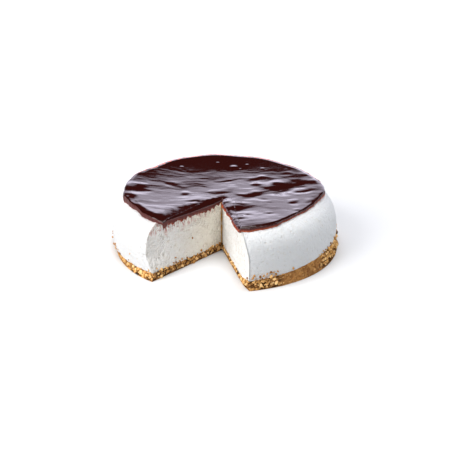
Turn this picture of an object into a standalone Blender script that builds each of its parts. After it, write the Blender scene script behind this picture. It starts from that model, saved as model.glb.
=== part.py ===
"""A round cheesecake with one slice cut out of it.

Three layers run through the cake and show at the cut: a pressed biscuit crumb base whose rim is
raised, a deep pale cheese filling with a broad rounded shoulder, and a dark fruit jelly on top.
The origin is the centre of the flat underside, +Z is up, and the missing slice opens towards -Y.
"""

import math
from dataclasses import dataclass
from typing import Callable

import bmesh
import bpy
from mathutils import Vector, noise

MM = 0.001

# Driving sizes, in millimetres
CAKE_RADIUS = 114.4
FOOT_FLARE = 1.25
FILLING_TOP = 53.0
TOP_RISE = 3.3
DISH_START = 30.0
SHOULDER_START = 88.0
SHOULDER_FOOT = 20.0
BASE_THICKNESS = 7.5
RIM_HEIGHT = 11.9
RIM_WIDTH = 28.0
JELLY_RADIUS = 97.1
JELLY_THICKNESS = 3.3
JOINT_GAP = 0.35

# Uneven rings, as (waves round the cake, depth in millimetres, degrees where one wave has its crest)
JELLY_EDGE_WAVES = (
    (1, 3.5, 257.0),
    (2, 2.7, 39.0),
    (3, 1.1, 24.0),
    (4, 1.7, 22.0),
    (6, 0.9, 11.0),
    (11, 0.6, 12.0),
)
RIM_WAVES = ((1, 3.9, 46.0), (2, 1.0, 167.0), (3, 0.6, 109.0), (7, 0.3, 40.0))
TOP_WAVES = ((1, 2.3, 138.0),)
BELLY_WAVES = ((1, 0.5, 195.0),)
FOOT_WAVES = ((1, 2.0, 310.0), (2, 0.9, 97.0), (3, 0.7, 8.0), (4, 0.7, 71.0))

# How square the shoulder is: 2 would be a quarter of an ellipse, and it is squarest beside the cut
SHOULDER_POWER = 2.36
SHOULDER_WAVES = ((1, 0.45, 293.0), (2, 0.23, 112.0))

# The missing slice: its tip lies in front of the cake's centre, and the knife went a little past it
SLICE_TIP = (2.7, -24.0)
SLIT_DEPTH = 3.5
SLIT_HALF_WIDTH = 0.45
KNIFE_REACH = 135.0

# Sizes of the crumbs and of the crust's finer grain, in millimetres
CRUMB = 6.0
GRAIN = 3.3

# How finely each layer is divided
FINE_STEPS = 192
PLAIN_STEPS = 102
BASE_WALL_ROWS = 5
RIM_ROWS = 4
SHOULDER_ROWS = 10
TOP_RINGS = 6
JELLY_RINGS = 13
LIP_RINGS = 4

BISCUIT = ("biscuit", (0.46, 0.24, 0.075), 0.9)
CHEESE = ("cheese", (0.86, 0.84, 0.79), 0.6)
JELLY = ("fruit_jelly", (0.045, 0.006, 0.006), 0.12)


def smooth(low, high, value):
    """0 below low, 1 above high, and a smooth step between them."""
    share = min(1.0, max(0.0, (value - low) / (high - low)))
    return share * share * (3.0 - 2.0 * share)


def wander(x, y, z, size):
    """Smooth noise of about -1 to 1 whose bumps are about size millimetres across."""
    return 1.6 * noise.noise(Vector((x / size, y / size, z / size)))


def crumb(x, y, z, size):
    """0 in the cracks between pressed crumbs of that size, and 1 in the middle of each."""
    distances, _ = noise.voronoi(Vector((x / size, y / size, z / size)))
    return 1.0 - min(1.0, distances[0])


def ring(middle, waves, angle):
    """The value round an uneven ring at one angle."""
    value = middle
    for count, depth, crest in waves:
        value += depth * math.cos(count * (angle - math.radians(crest)))
    return value


def place_at(radius, angle):
    return radius * math.cos(angle), radius * math.sin(angle)


def steps_between(first, last, count):
    return [first + (last - first) * i / count for i in range(count + 1)]


def base_top(x, y):
    """Height of the crumb base's upper side: flat inside, and pressed up the tin at the rim."""
    radius, angle = math.hypot(x, y), math.atan2(y, x)
    rise = ring(RIM_HEIGHT, RIM_WAVES, angle) - BASE_THICKNESS
    return BASE_THICKNESS + rise * smooth(CAKE_RADIUS - RIM_WIDTH, CAKE_RADIUS - 2.0, radius)


def belly(angle):
    """Radius of the filling at its fullest, which is a little fuller on one side."""
    return ring(CAKE_RADIUS, BELLY_WAVES, angle)


def top_height(x, y):
    """Height of the filling's top: a shallow dish whose rim stands higher on one side."""
    radius, angle = math.hypot(x, y), math.atan2(y, x)
    rise = ring(TOP_RISE, TOP_WAVES, angle)
    return FILLING_TOP + rise * smooth(DISH_START, SHOULDER_START, radius) + 0.4 * wander(x, y, 0.0, 50.0)


def shoulder_point(angle, turn):
    """Radius and height on the shoulder, for a turn from 0 at the top to 1 at its foot."""
    power = 2.0 / ring(SHOULDER_POWER, SHOULDER_WAVES, angle)
    out = math.sin(turn * math.pi / 2.0) ** power
    up = abs(math.cos(turn * math.pi / 2.0)) ** power
    top = top_height(*place_at(SHOULDER_START, angle))
    return (
        SHOULDER_START + (belly(angle) - SHOULDER_START) * out,
        SHOULDER_FOOT + (top - SHOULDER_FOOT) * up,
    )


def filling_height(x, y):
    """Height of the filling's upper side, over the dish and down the shoulder."""
    radius, angle = math.hypot(x, y), math.atan2(y, x)
    if radius <= SHOULDER_START:
        return top_height(x, y)
    power = ring(SHOULDER_POWER, SHOULDER_WAVES, angle)
    out = (radius - SHOULDER_START) / (belly(angle) - SHOULDER_START)
    top = top_height(*place_at(SHOULDER_START, angle))
    return SHOULDER_FOOT + (top - SHOULDER_FOOT) * (1.0 - out**power) ** (1.0 / power)


def jelly_rise(x, y):
    """Thickness of the spread jelly: broad strokes left by the spatula."""
    return JELLY_THICKNESS + 0.6 * wander(0.55 * x, y, 3.0, 13.0) + 0.4 * wander(x, y, 9.0, 30.0)


def jelly_reach(radius, angle):
    """Stretches what lies past the shoulder's start so that the jelly ends at its uneven edge."""
    if radius <= SHOULDER_START:
        return radius
    edge = ring(JELLY_RADIUS, JELLY_EDGE_WAVES, angle)
    share = (radius - SHOULDER_START) / (JELLY_RADIUS - SHOULDER_START)
    return SHOULDER_START + share * (edge - SHOULDER_START)


def turned(name, profile, steps):
    """A closed body turned from a profile that runs from the axis, round the outside, to the axis."""
    mesh = bpy.data.meshes.new(name)
    points = [(radius * MM, 0.0, height * MM) for radius, height in profile]
    mesh.from_pydata(points, [(i, i + 1) for i in range(len(points) - 1)], [])
    body = bpy.data.objects.new(name, mesh)
    bpy.context.scene.collection.objects.link(body)
    screw = body.modifiers.new("Turned", "SCREW")
    screw.steps = screw.render_steps = steps
    screw.use_merge_vertices = True
    screw.merge_threshold = 0.00001
    solid = bpy.data.meshes.new_from_object(body.evaluated_get(bpy.context.evaluated_depsgraph_get()))
    body.modifiers.clear()
    body.data = solid
    bpy.data.meshes.remove(mesh)
    solid.name = name
    return body


def reshape(body, move):
    """Moves each point of a turned body by move(radius, angle, height), in millimetres."""
    for vertex in body.data.vertices:
        x, y, z = vertex.co / MM
        vertex.co = Vector(move(math.hypot(x, y), math.atan2(y, x), z)) * MM


def crumb_base():
    """The base: a flat disc, with its wall and its raised rim broken up into pressed crumbs."""
    rim = [(radius, 1.0) for radius in steps_between(CAKE_RADIUS - RIM_WIDTH, CAKE_RADIUS, RIM_ROWS)]
    wall = [(CAKE_RADIUS, share) for share in reversed(steps_between(0.0, 1.0, BASE_WALL_ROWS)[:-1])]

    def move(radius, angle, share):
        x, y = place_at(radius, angle)
        height = share * base_top(x, y)
        if radius > CAKE_RADIUS - 0.01:
            rough = 1.5 * crumb(x, y, height, CRUMB) + 0.7 * wander(x, y, height, GRAIN) - 0.9
            spread = ring(FOOT_FLARE, FOOT_WAVES, angle) * (1.0 - 0.7 * share)
            worn_foot = 0.5 if share < 0.01 else 0.0
            x, y = place_at(radius + rough + spread - worn_foot, angle)
        return x, y, height

    body = turned("biscuit_base", [(0.0, 1.0), *rim, *wall, (0.0, 0.0)], FINE_STEPS)
    reshape(body, move)
    return body


def cheese_filling():
    """The filling: its top and shoulder, a near upright side, and an underside that fits the base."""
    top = [(SHOULDER_START * i / TOP_RINGS, 1.0) for i in range(TOP_RINGS)]
    shoulder = [(SHOULDER_START + i, 1.0) for i in range(SHOULDER_ROWS + 1)]
    under = [(radius, 0.0) for radius in steps_between(CAKE_RADIUS, CAKE_RADIUS - RIM_WIDTH, RIM_ROWS)]

    def move(radius, angle, share):
        if share > 0.5 and radius <= SHOULDER_START:
            x, y = place_at(radius, angle)
            return x, y, top_height(x, y)
        if share > 0.5:
            radius, height = shoulder_point(angle, (radius - SHOULDER_START) / SHOULDER_ROWS)
            x, y = place_at(radius, angle)
            dent = 0.4 * wander(x, y, height, 16.0) * smooth(JELLY_RADIUS + 5.0, CAKE_RADIUS, radius)
            x, y = place_at(radius + dent, angle)
            return x, y, height
        x, y = place_at(radius, angle)
        return x, y, base_top(x, y) + JOINT_GAP

    body = turned("cheese_filling", [*top, *shoulder, *under, (0.0, 0.0)], PLAIN_STEPS)
    reshape(body, move)
    return body


def fruit_topping():
    """The jelly: it covers the dish, and its uneven edge runs a little way down the shoulder."""
    top = [(JELLY_RADIUS * i / JELLY_RINGS, 1.0) for i in range(JELLY_RINGS)] + [(JELLY_RADIUS - 1.8, 0.95)]
    edge = [(JELLY_RADIUS - 0.3, 0.7), (JELLY_RADIUS + 0.3, 0.3)]
    lip = [(radius, 0.0) for radius in steps_between(JELLY_RADIUS, SHOULDER_START, LIP_RINGS)]
    under = [(SHOULDER_START * i / TOP_RINGS, 0.0) for i in reversed(range(TOP_RINGS))]

    def move(radius, angle, share):
        x, y = place_at(jelly_reach(radius, angle), angle)
        thinner = 1.0 - 0.3 * smooth(JELLY_RADIUS - 10.0, JELLY_RADIUS, radius)
        return x, y, filling_height(x, y) + JOINT_GAP + share * thinner * jelly_rise(x, y)

    body = turned("fruit_topping", [*top, *edge, *lip, *under], PLAIN_STEPS)
    reshape(body, move)
    return body


def crumbly(along, height, side):
    return 1.7 * crumb(along, side, height, CRUMB) + 0.6 * wander(along, side, height, GRAIN) - 1.1


def dragged(along, height, side):
    return 0.4 * wander(along, side, height, 18.0)


def ragged(along, height, side):
    return 0.5 * wander(along, side, height, 6.0)


@dataclass
class Blade:
    """How one layer is cut: the directions of its two faces from the tip, in degrees, and their relief.

    setback wears back the left face's outer corner, and worn the lower part of the right face's.
    """

    left: float
    right: float
    strides: list
    heights: list
    relief: Callable
    setback: float = 0.0
    worn: float = 0.0


BASE_BLADE = Blade(
    left=240.7,
    right=297.8,
    strides=steps_between(3.0, 105.0, 38),
    heights=steps_between(-2.0, 23.0, 10),
    relief=crumbly,
    worn=2.6,
)
CHEESE_BLADE = Blade(
    left=240.3,
    right=297.2,
    strides=steps_between(6.0, 108.0, 13),
    heights=steps_between(4.0, 62.0, 8),
    relief=dragged,
    setback=8.0,
    worn=4.2,
)
JELLY_BLADE = Blade(
    left=241.3,
    right=296.3,
    strides=steps_between(5.0, 101.0, 22),
    heights=steps_between(38.0, 64.0, 3),
    relief=ragged,
)


def cut_point(blade, side, along, height):
    """A point on one face of the cut, along millimetres out from the slice's tip."""
    rough = blade.relief(along, height, 0.0 if side == "left" else 400.0) * smooth(2.0, 12.0, along)
    if side == "left":
        angle = math.radians(blade.left)
        inward = Vector((-math.sin(angle), math.cos(angle)))
        rough += blade.setback * smooth(52.0, 92.0, along) * smooth(7.0, 25.0, height)
    else:
        angle = math.radians(blade.right)
        inward = Vector((math.sin(angle), -math.cos(angle)))
        rough += blade.worn * smooth(78.0, 98.0, along) * smooth(56.0, 28.0, height)
    outward = Vector((math.cos(angle), math.sin(angle)))
    point = Vector(SLICE_TIP) + outward * along - inward * (SLIT_HALF_WIDTH + rough)
    return point.x, point.y


def loft(name, rings):
    """A closed body through rings of equally many points, with a flat cap at each end."""
    mesh = bmesh.new()
    loops = [[mesh.verts.new(Vector(point) * MM) for point in points] for points in rings]
    count = len(loops[0])
    for lower, upper in zip(loops, loops[1:]):
        for i in range(count):
            j = (i + 1) % count
            mesh.faces.new((lower[i], lower[j], upper[j], upper[i]))
    mesh.faces.new(list(reversed(loops[0])))
    mesh.faces.new(loops[-1])
    bmesh.ops.recalc_face_normals(mesh, faces=mesh.faces)
    data = bpy.data.meshes.new(name)
    mesh.to_mesh(data)
    mesh.free()
    return bpy.data.objects.new(name, data)


def knife(name, blade):
    """The wedge that is taken out of one layer, with that layer's own roughness on its faces."""
    strides = [0.0, *blade.strides, KNIFE_REACH]
    rings = []
    for height in blade.heights:
        left = [cut_point(blade, "left", along, height) for along in strides]
        right = [cut_point(blade, "right", along, height) for along in reversed(strides)]
        tip = (SLICE_TIP[0], SLICE_TIP[1] + SLIT_DEPTH)
        rings.append([(x, y, height) for x, y in [tip, *left, *right]])
    wedge = loft(name, rings)
    wedge.hide_render = True
    wedge.display_type = "WIRE"
    return wedge


def finish(body, wedge, material, parts, cutters):
    """Takes the wedge out of a layer, gives it its material, and files both in their collections."""
    cut = body.modifiers.new("Missing slice", "BOOLEAN")
    cut.operation = "DIFFERENCE"
    cut.object = wedge
    name, colour, roughness = material
    surface = bpy.data.materials.new(name)
    surface.use_nodes = True
    shader = surface.node_tree.nodes["Principled BSDF"]
    shader.inputs["Base Color"].default_value = (*colour, 1.0)
    shader.inputs["Roughness"].default_value = roughness
    body.data.materials.clear()
    body.data.materials.append(surface)
    body.data.shade_smooth()
    bpy.context.scene.collection.objects.unlink(body)
    parts.objects.link(body)
    cutters.objects.link(wedge)


def main():
    for obj in list(bpy.data.objects):
        bpy.data.objects.remove(obj)
    parts = bpy.data.collections.new("cheesecake")
    cutters = bpy.data.collections.new("cutters")
    for collection in (parts, cutters):
        bpy.context.scene.collection.children.link(collection)
    finish(crumb_base(), knife("base_knife", BASE_BLADE), BISCUIT, parts, cutters)
    finish(cheese_filling(), knife("filling_knife", CHEESE_BLADE), CHEESE, parts, cutters)
    finish(fruit_topping(), knife("topping_knife", JELLY_BLADE), JELLY, parts, cutters)


main()
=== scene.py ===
# %% [markdown]
# # A cheesecake with a slice cut out
#
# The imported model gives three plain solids: a crumb base, a cheese filling and a jelly top. This
# lesson dresses them. Each layer is modelled again as one closed surface that follows the same
# sizes, but fine enough to carry crumbs, pits and spatula strokes, and then each one gets its finish.

import math
from dataclasses import dataclass

import bpy
import numpy as np
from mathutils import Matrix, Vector, noise


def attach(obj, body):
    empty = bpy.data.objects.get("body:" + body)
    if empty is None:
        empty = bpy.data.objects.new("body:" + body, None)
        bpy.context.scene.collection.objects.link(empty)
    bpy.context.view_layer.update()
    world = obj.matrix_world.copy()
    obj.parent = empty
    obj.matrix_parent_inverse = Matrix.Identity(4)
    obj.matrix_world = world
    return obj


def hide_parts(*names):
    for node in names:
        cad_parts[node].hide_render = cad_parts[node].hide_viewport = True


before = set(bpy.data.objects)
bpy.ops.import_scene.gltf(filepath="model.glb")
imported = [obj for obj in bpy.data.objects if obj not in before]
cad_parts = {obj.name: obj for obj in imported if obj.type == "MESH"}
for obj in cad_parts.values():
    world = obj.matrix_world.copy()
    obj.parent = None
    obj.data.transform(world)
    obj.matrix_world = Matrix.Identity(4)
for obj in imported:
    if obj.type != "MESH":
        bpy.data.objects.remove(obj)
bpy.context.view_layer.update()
print("packed solids:", sorted(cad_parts))

# %% [markdown]
# ## Sizes
#
# These are the cake's own sizes in millimetres, the same as those of the solids, so that each piece
# goes exactly where its solid is. An uneven ring is a mean radius or height plus a few waves round
# the cake, each with a count, a depth and the direction of its crest.

# %% Sizes in millimetres
MM = 0.001
CAKE_RADIUS = 114.4
FOOT_FLARE = 1.25
FILLING_TOP = 53.0
TOP_RISE = 3.3
SHOULDER_START = 88.0
SHOULDER_FOOT = 20.0
BASE_THICKNESS = 7.5
RIM_HEIGHT = 11.9
RIM_WIDTH = 28.0
JELLY_RADIUS = 97.1
JELLY_THICKNESS = 3.3
SLICE_TIP = (2.7, -24.0)
SLIT_DEPTH = 3.5
SLIT_HALF_WIDTH = 0.45
LAYER_GAP = 0.4

JELLY_EDGE_WAVES = (
    (1, 3.5, 257.0),
    (2, 2.7, 39.0),
    (3, 1.1, 24.0),
    (4, 1.7, 22.0),
    (6, 0.9, 11.0),
    (11, 0.6, 12.0),
)
RIM_WAVES = ((1, 3.9, 46.0), (2, 1.0, 167.0), (3, 0.6, 109.0), (7, 0.3, 40.0))
TOP_WAVES = ((1, 2.3, 138.0),)
BELLY_WAVES = ((1, 0.5, 195.0),)
FOOT_WAVES = ((1, 2.0, 310.0), (2, 0.9, 97.0), (3, 0.7, 8.0), (4, 0.7, 71.0))
SHOULDER_POWER = 2.36
SHOULDER_WAVES = ((1, 0.45, 293.0), (2, 0.23, 112.0))


def smooth(low, high, value):
    """0 below low, 1 above high, and a smooth step between them."""
    share = np.clip((value - low) / (high - low), 0.0, 1.0)
    return share * share * (3.0 - 2.0 * share)


def wander(x, y, z, size):
    """Smooth noise of about -1 to 1 whose bumps are about size millimetres across."""
    x, y, z = np.broadcast_arrays(x, y, z)
    places = np.stack([x, y, z], axis=-1).reshape(-1, 3) / size
    return 1.6 * np.array([noise.noise(place) for place in places.tolist()]).reshape(x.shape)


def ring(middle, waves, angle):
    """The value round an uneven ring, at one angle or at many."""
    swings = (depth * np.cos(count * (angle - math.radians(crest))) for count, depth, crest in waves)
    return middle + sum(swings)


print(f"the cake is {2 * CAKE_RADIUS:.0f} mm across, with its jelly at about {FILLING_TOP + 5:.0f} mm")

# %% [markdown]
# ## The surfaces between the layers
#
# A crumb base is pressed flat in the tin and a little way up its side, so its top is level inside
# and rises at the rim. The filling was poured and then settled into a shallow dish, and its shoulder
# is a quarter of a superellipse, a curve whose power says how square it is.


# %% Heights of the layers
RIM_EDGE = 2.0
BOWL_POWER = 2.6
BOWL_END = 1.08


def base_top(x, y):
    """Height of the base's top: level inside and risen at the rim."""
    rise = ring(RIM_HEIGHT, RIM_WAVES, np.arctan2(y, x)) - BASE_THICKNESS
    return BASE_THICKNESS + rise * smooth(CAKE_RADIUS - RIM_WIDTH, CAKE_RADIUS - RIM_EDGE, np.hypot(x, y))


def belly(angle):
    """Radius of the filling's wall, which swells a little to one side."""
    return ring(CAKE_RADIUS, BELLY_WAVES, angle)


def dish_height(x, y):
    """Height of the filling's top, which rises towards its rim as a bowl does."""
    out = np.minimum(np.hypot(x, y) / SHOULDER_START, BOWL_END)
    bowl = ring(TOP_RISE, TOP_WAVES, np.arctan2(y, x)) * out**BOWL_POWER
    return FILLING_TOP + bowl + 0.4 * wander(x, y, 0.0, 50.0)


def shoulder_point(angle, turn):
    """Radius and height on the shoulder, for a turn from 0 at the top to 1 at its foot."""
    power = 2.0 / ring(SHOULDER_POWER, SHOULDER_WAVES, angle)
    out = np.sin(turn * math.pi / 2.0) ** power
    up = np.abs(np.cos(turn * math.pi / 2.0)) ** power
    top = dish_height(SHOULDER_START * np.cos(angle), SHOULDER_START * np.sin(angle))
    radius = SHOULDER_START + (belly(angle) - SHOULDER_START) * out
    return radius, SHOULDER_FOOT + (top - SHOULDER_FOOT) * up


def filling_height(x, y):
    """Height of the filling's upper side, over the dish and down the shoulder."""
    angle = np.arctan2(y, x)
    out = (np.hypot(x, y) - SHOULDER_START) / (belly(angle) - SHOULDER_START)
    out = np.clip(out, 0.0, 1.0)
    power = ring(SHOULDER_POWER, SHOULDER_WAVES, angle)
    fall = (1.0 - out**power) ** (1.0 / power)
    return SHOULDER_FOOT + (dish_height(x, y) - SHOULDER_FOOT) * fall


print("base top at the back rim:", round(float(base_top(0.0, 114.0)), 1), "mm")

# %% [markdown]
# ## One outline for a cake with a slice missing
#
# Seen from above, every layer is a disc with a wedge out of it. Rather than cutting a fine mesh with
# a Boolean, which leaves slivers along the cut, each layer is woven from closed loops that already
# run round the wedge: from its tip out along one face, round the outside and back in along the other
# face. Loops stacked from the underside's middle to the top's middle make a closed skin, and the
# quads stay even from one end to the other.


# %% The loop round one layer
@dataclass
class Layer:
    """How a layer is cut and how finely its loops are divided.

    Left and right are the directions of the two faces of the cut, in degrees. Setback wears back the
    left face's outer corner, and worn the lower part of the right face's, in millimetres.
    """

    left: float
    right: float
    face_steps: int
    arc_steps: int
    setback: float = 0.0
    worn: float = 0.0


BASE = Layer(left=240.7, right=297.8, face_steps=150, arc_steps=860, worn=2.6)
FILLING = Layer(left=240.3, right=297.2, face_steps=100, arc_steps=560, setback=8.0, worn=4.2)
JELLY = Layer(left=241.3, right=296.3, face_steps=100, arc_steps=470)
HEART = (2.7, 4.0)
SETBACK_ALONG, SETBACK_HEIGHTS = (52.0, 92.0), (7.0, 25.0)
WORN_ALONG, WORN_HEIGHTS = (78.0, 98.0), (56.0, 28.0)
NEAREST_REACH, FARTHEST_REACH, HALVINGS = 40.0, 130.0, 40


def face_at(layer, side, along, height):
    """Places on one face of the cut, along millimetres out from the slice's tip."""
    if side == "left":
        angle = math.radians(layer.left)
        wedge = (-math.sin(angle), math.cos(angle))
        back = smooth(*SETBACK_ALONG, along) * smooth(*SETBACK_HEIGHTS, height)
        aside = SLIT_HALF_WIDTH + layer.setback * back
    else:
        angle = math.radians(layer.right)
        wedge = (math.sin(angle), -math.cos(angle))
        back = smooth(*WORN_ALONG, along) * smooth(*WORN_HEIGHTS, height)
        aside = SLIT_HALF_WIDTH + layer.worn * back
    x = SLICE_TIP[0] + math.cos(angle) * along - wedge[0] * aside
    y = SLICE_TIP[1] + math.sin(angle) * along - wedge[1] * aside
    return np.stack([x, y], axis=-1)


def reach(layer, side, height, radius_at):
    """How far out from the tip a face runs before it meets the outside."""
    near, far = NEAREST_REACH, FARTHEST_REACH
    for _ in range(HALVINGS):
        middle = (near + far) / 2.0
        x, y = face_at(layer, side, np.array(middle), height)
        if math.hypot(x, y) < radius_at(math.atan2(y, x)):
            near = middle
        else:
            far = middle
    return near


def outline(layer, height, radius_at):
    """One closed loop: the slit, out along the right face, round the outside, in along the left."""
    shares = np.linspace(0.0, 1.0, layer.face_steps + 1)
    right = face_at(layer, "right", shares * reach(layer, "right", height, radius_at), height)
    left = face_at(layer, "left", shares * reach(layer, "left", height, radius_at), height)
    first = math.atan2(right[-1, 1], right[-1, 0])
    last = math.atan2(left[-1, 1], left[-1, 0]) + 2.0 * math.pi
    angles = np.linspace(first, last, layer.arc_steps + 1)[1:-1]
    arc = radius_at(angles)[:, None] * np.stack([np.cos(angles), np.sin(angles)], axis=-1)
    slit = np.array([[SLICE_TIP[0], SLICE_TIP[1] + SLIT_DEPTH]])
    return np.concatenate([slit, right, arc, left[::-1]])


def zones(layer):
    """For each point of a loop, whether it is on the right face, on the outside or on the left face."""
    face = layer.face_steps + 1
    return np.array([1] * (1 + face) + [2] * (layer.arc_steps - 1) + [3] * face)


def with_height(places, heights):
    """Places seen from above, with one height for all of them or one for each."""
    return np.column_stack([places, np.broadcast_to(heights, len(places))])


def shrunk(loop, share):
    """A loop drawn in towards the cake's heart, which sees every point of the outline."""
    return np.array(HEART) + (loop - np.array(HEART)) * share


for name, layer in (("base", BASE), ("filling", FILLING), ("jelly", JELLY)):
    print(name, "loop has", len(zones(layer)), "points")


# %% [markdown]
# A skin is woven in one pass: a fan at each end, and quads between neighbouring loops. The loops run
# anticlockwise and upwards, so every face points outwards. Each point also keeps a few numbers that
# the finishes need later, such as how far along a face it lies.


# %% Weave loops into a closed skin
def weave(name, loops, attributes):
    """A closed mesh object through loops of equally many points, closed by a fan at each end."""
    count, rows = len(loops[0]), len(loops)
    ends = [loops[0].mean(axis=0), loops[-1].mean(axis=0)]
    for end in ends:
        end[:2] = HEART
    points = np.concatenate([*loops, ends])
    here = np.arange(count)
    after = (here + 1) % count
    quads = []
    for row in range(rows - 1):
        low, high = row * count, (row + 1) * count
        quads.append(np.stack([low + here, low + after, high + after, high + here], axis=-1))
    bottom, top, last = rows * count, rows * count + 1, (rows - 1) * count
    fans = [[bottom, int(j), int(i)] for i, j in zip(here, after)]
    fans += [[top, int(last + i), int(last + j)] for i, j in zip(here, after)]
    mesh = bpy.data.meshes.new(name)
    mesh.from_pydata((points * MM).tolist(), [], np.concatenate(quads).tolist() + fans)
    for key, rows_of_values in attributes.items():
        values = np.concatenate([*rows_of_values, [rows_of_values[0].mean(), rows_of_values[-1].mean()]])
        mesh.attributes.new(key, "FLOAT", "POINT").data.foreach_set("value", values.astype(np.float32))
    mesh.shade_smooth()
    piece = bpy.data.objects.new(name, mesh)
    bpy.context.scene.collection.objects.link(piece)
    print(name, "has", len(mesh.polygons), "faces")
    return piece


# %% [markdown]
# ## The cheese filling
#
# On the real cake this is a set cream with an almost upright side and a rounded shoulder. On the
# outside each loop climbs the wall and goes over the shoulder. On the faces of the cut the same
# loop's points keep the share of the height that the corner has, so the grid closes at the corner
# without a seam.

# %% Build the filling's loops
WALL_LOOPS = 12
SHOULDER_LOOPS = 50
UNDER_SHARES = (0.15, 0.4, 0.65, 0.85, 0.95)
TOP_SHARES = (0.985, 0.95, 0.88, 0.75, 0.6, 0.4, 0.2, 0.08)


def face_values(layer, loops, shares):
    """The distance along a face of the cut and the masks that a finish reads, for each loop."""
    zone = zones(layer)
    tip = np.array(SLICE_TIP)
    along = [np.where(zone == 2, 0.0, np.hypot(*(loop[:, :2] - tip).T)) for loop in loops]
    return {
        "along": along,
        "left_cut": [(zone == 3) * share for share in shares],
        "right_cut": [(zone == 1) * share for share in shares],
        "wall": [np.full(len(zone), share) for share in shares],
    }


def under_filling(x, y):
    """Height of the filling's underside: just above the base inside, and just below its rim."""
    return base_top(x, y) - LAYER_GAP


def filling_loops():
    """Loops from the middle of the underside, up the wall, over the shoulder and in over the dish."""
    zone = zones(FILLING)
    loops = []
    foot_loop = outline(FILLING, BASE_THICKNESS, belly)
    for share in UNDER_SHARES:
        inner = shrunk(foot_loop, share)
        loops.append(with_height(inner, under_filling(*inner.T)))
    for row in range(WALL_LOOPS + SHOULDER_LOOPS + 1):
        climb = min(1.0, row / WALL_LOOPS)
        turn = 1.0 - max(0, row - WALL_LOOPS) / SHOULDER_LOOPS

        def radius_at(angle):
            return shoulder_point(angle, turn)[0]

        def height_at(angle):
            foot = under_filling(CAKE_RADIUS * np.cos(angle), CAKE_RADIUS * np.sin(angle))
            on_wall = foot + (SHOULDER_FOOT - foot) * climb
            return np.where(row <= WALL_LOOPS, on_wall, shoulder_point(angle, turn)[1])

        corner = math.radians(FILLING.right)
        places = outline(FILLING, float(height_at(corner)), radius_at)
        angle = np.arctan2(places[:, 1], places[:, 0])
        heights = height_at(angle)
        foot = under_filling(*places.T)
        top = dish_height(*places.T)
        for side, at in ((1, FILLING.face_steps + 1), (3, len(zone) - FILLING.face_steps - 1)):
            rim = (CAKE_RADIUS * np.cos(angle[at]), CAKE_RADIUS * np.sin(angle[at]))
            corner_foot = under_filling(*rim)
            corner_top = shoulder_point(angle[at], 0.0)[1]
            share = (heights[at] - corner_foot) / (corner_top - corner_foot)
            heights = np.where(zone == side, foot + share * (top - foot), heights)
        loops.append(with_height(places, heights))
    top_loop = loops[-1][:, :2]
    for share in TOP_SHARES:
        inner = shrunk(top_loop, share)
        loops.append(with_height(inner, dish_height(*inner.T)))
    return loops


cheese_loops = filling_loops()
print("the filling has", len(cheese_loops), "loops")

# %% [markdown]
# Where the knife and the tin touched the crumb, some of it stuck to the cheese: a few specks just
# above the base all round, hardly any higher up, and one smeared patch at the front right. Two numbers
# say where, and the crumbs and the finish read them further down.

# %% Where crumbs stick to the cheese
SMEARED_ARC = (290.0, 296.0, 306.0, 314.0)
SMEAR_HEIGHTS = (6.5, 3.5)
SPECKS_ON_RIGHT_FACE, SPECKS_OUTSIDE, SPECKS_ON_LEFT_FACE = 0.25, 0.5, 1.0
SPECKS_AT_BASE, SPECKS_HIGHER, SPECKS_IN_SMEAR = 0.75, 0.02, 0.7


def within(arc, loop):
    """1 on a stretch of the outside, fading to 0 beyond it: four directions in degrees."""
    angle = np.degrees(np.arctan2(loop[:, 1], loop[:, 0])) % 360.0
    return smooth(arc[0], arc[1], angle) * smooth(arc[3], arc[2], angle)


def stuck_crumbs(loops, wall):
    """How thickly specks lie on the cheese and where it is smeared, for each loop."""
    zone = zones(FILLING)
    side = np.select([zone == 1, zone == 2], [SPECKS_ON_RIGHT_FACE, SPECKS_OUTSIDE], SPECKS_ON_LEFT_FACE)
    smear, specks = [], []
    for loop, share in zip(loops, wall):
        above = loop[:, 2] - base_top(loop[:, 0], loop[:, 1])
        smeared = within(SMEARED_ARC, loop) * smooth(*SMEAR_HEIGHTS, above) * (zone == 2)
        sparse = SPECKS_AT_BASE * smooth(3.2, 0.8, above) + SPECKS_HIGHER * smooth(22.0, 9.0, above)
        smear.append(share * smeared)
        specks.append(share * np.maximum(side * sparse, SPECKS_IN_SMEAR * smeared))
    return {"specks": specks, "smear": smear}


wall_loops = WALL_LOOPS + SHOULDER_LOOPS + 1
cheese_wall = np.array([0.0] * len(UNDER_SHARES) + [1.0] * wall_loops + [0.0] * len(TOP_SHARES))
cheese_values = face_values(FILLING, cheese_loops, cheese_wall)
cheese = weave("cheese", cheese_loops, {**cheese_values, **stuck_crumbs(cheese_loops, cheese_wall)})

# %% [markdown]
# ## The crumb base
#
# The base is pressed biscuit crumb. Its skin is plain for now: the relief and the scattered crumbs
# are put on it further down, where the skin is already the right size and place. "cover" says how
# thickly those crumbs lie: all over the outside and the cut, apart from a stretch on the front right
# where the tin pressed the crumb smooth. A second number marks the left side, which faces the strong
# lamp and whose crumb is painted paler there as painted light.

# %% Build the base's loops
BASE_LOOPS = 26
INNER_SHARES = (0.995, 0.985, 0.97, 0.9, 0.7, 0.4, 0.15)
RIM_SHARE = 0.98
RIM_DROP = 0.8
RIM_ROUGHNESS = 0.6
PRESSED_ARC = (306.0, 316.0, 332.0, 344.0)
PRESSED_CLEAR = 0.8
# The stretch of the outside that faces the strong lamp on the left, painted paler as light
KEY_LIGHT_ARC = (170.0, 200.0, 256.0, 262.0)


def foot_spread(angle, share):
    """Radius of the base's outside, which spreads towards its foot."""
    return CAKE_RADIUS - 1.0 + ring(FOOT_FLARE, FOOT_WAVES, angle) * (1.0 - 0.7 * share)


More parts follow.
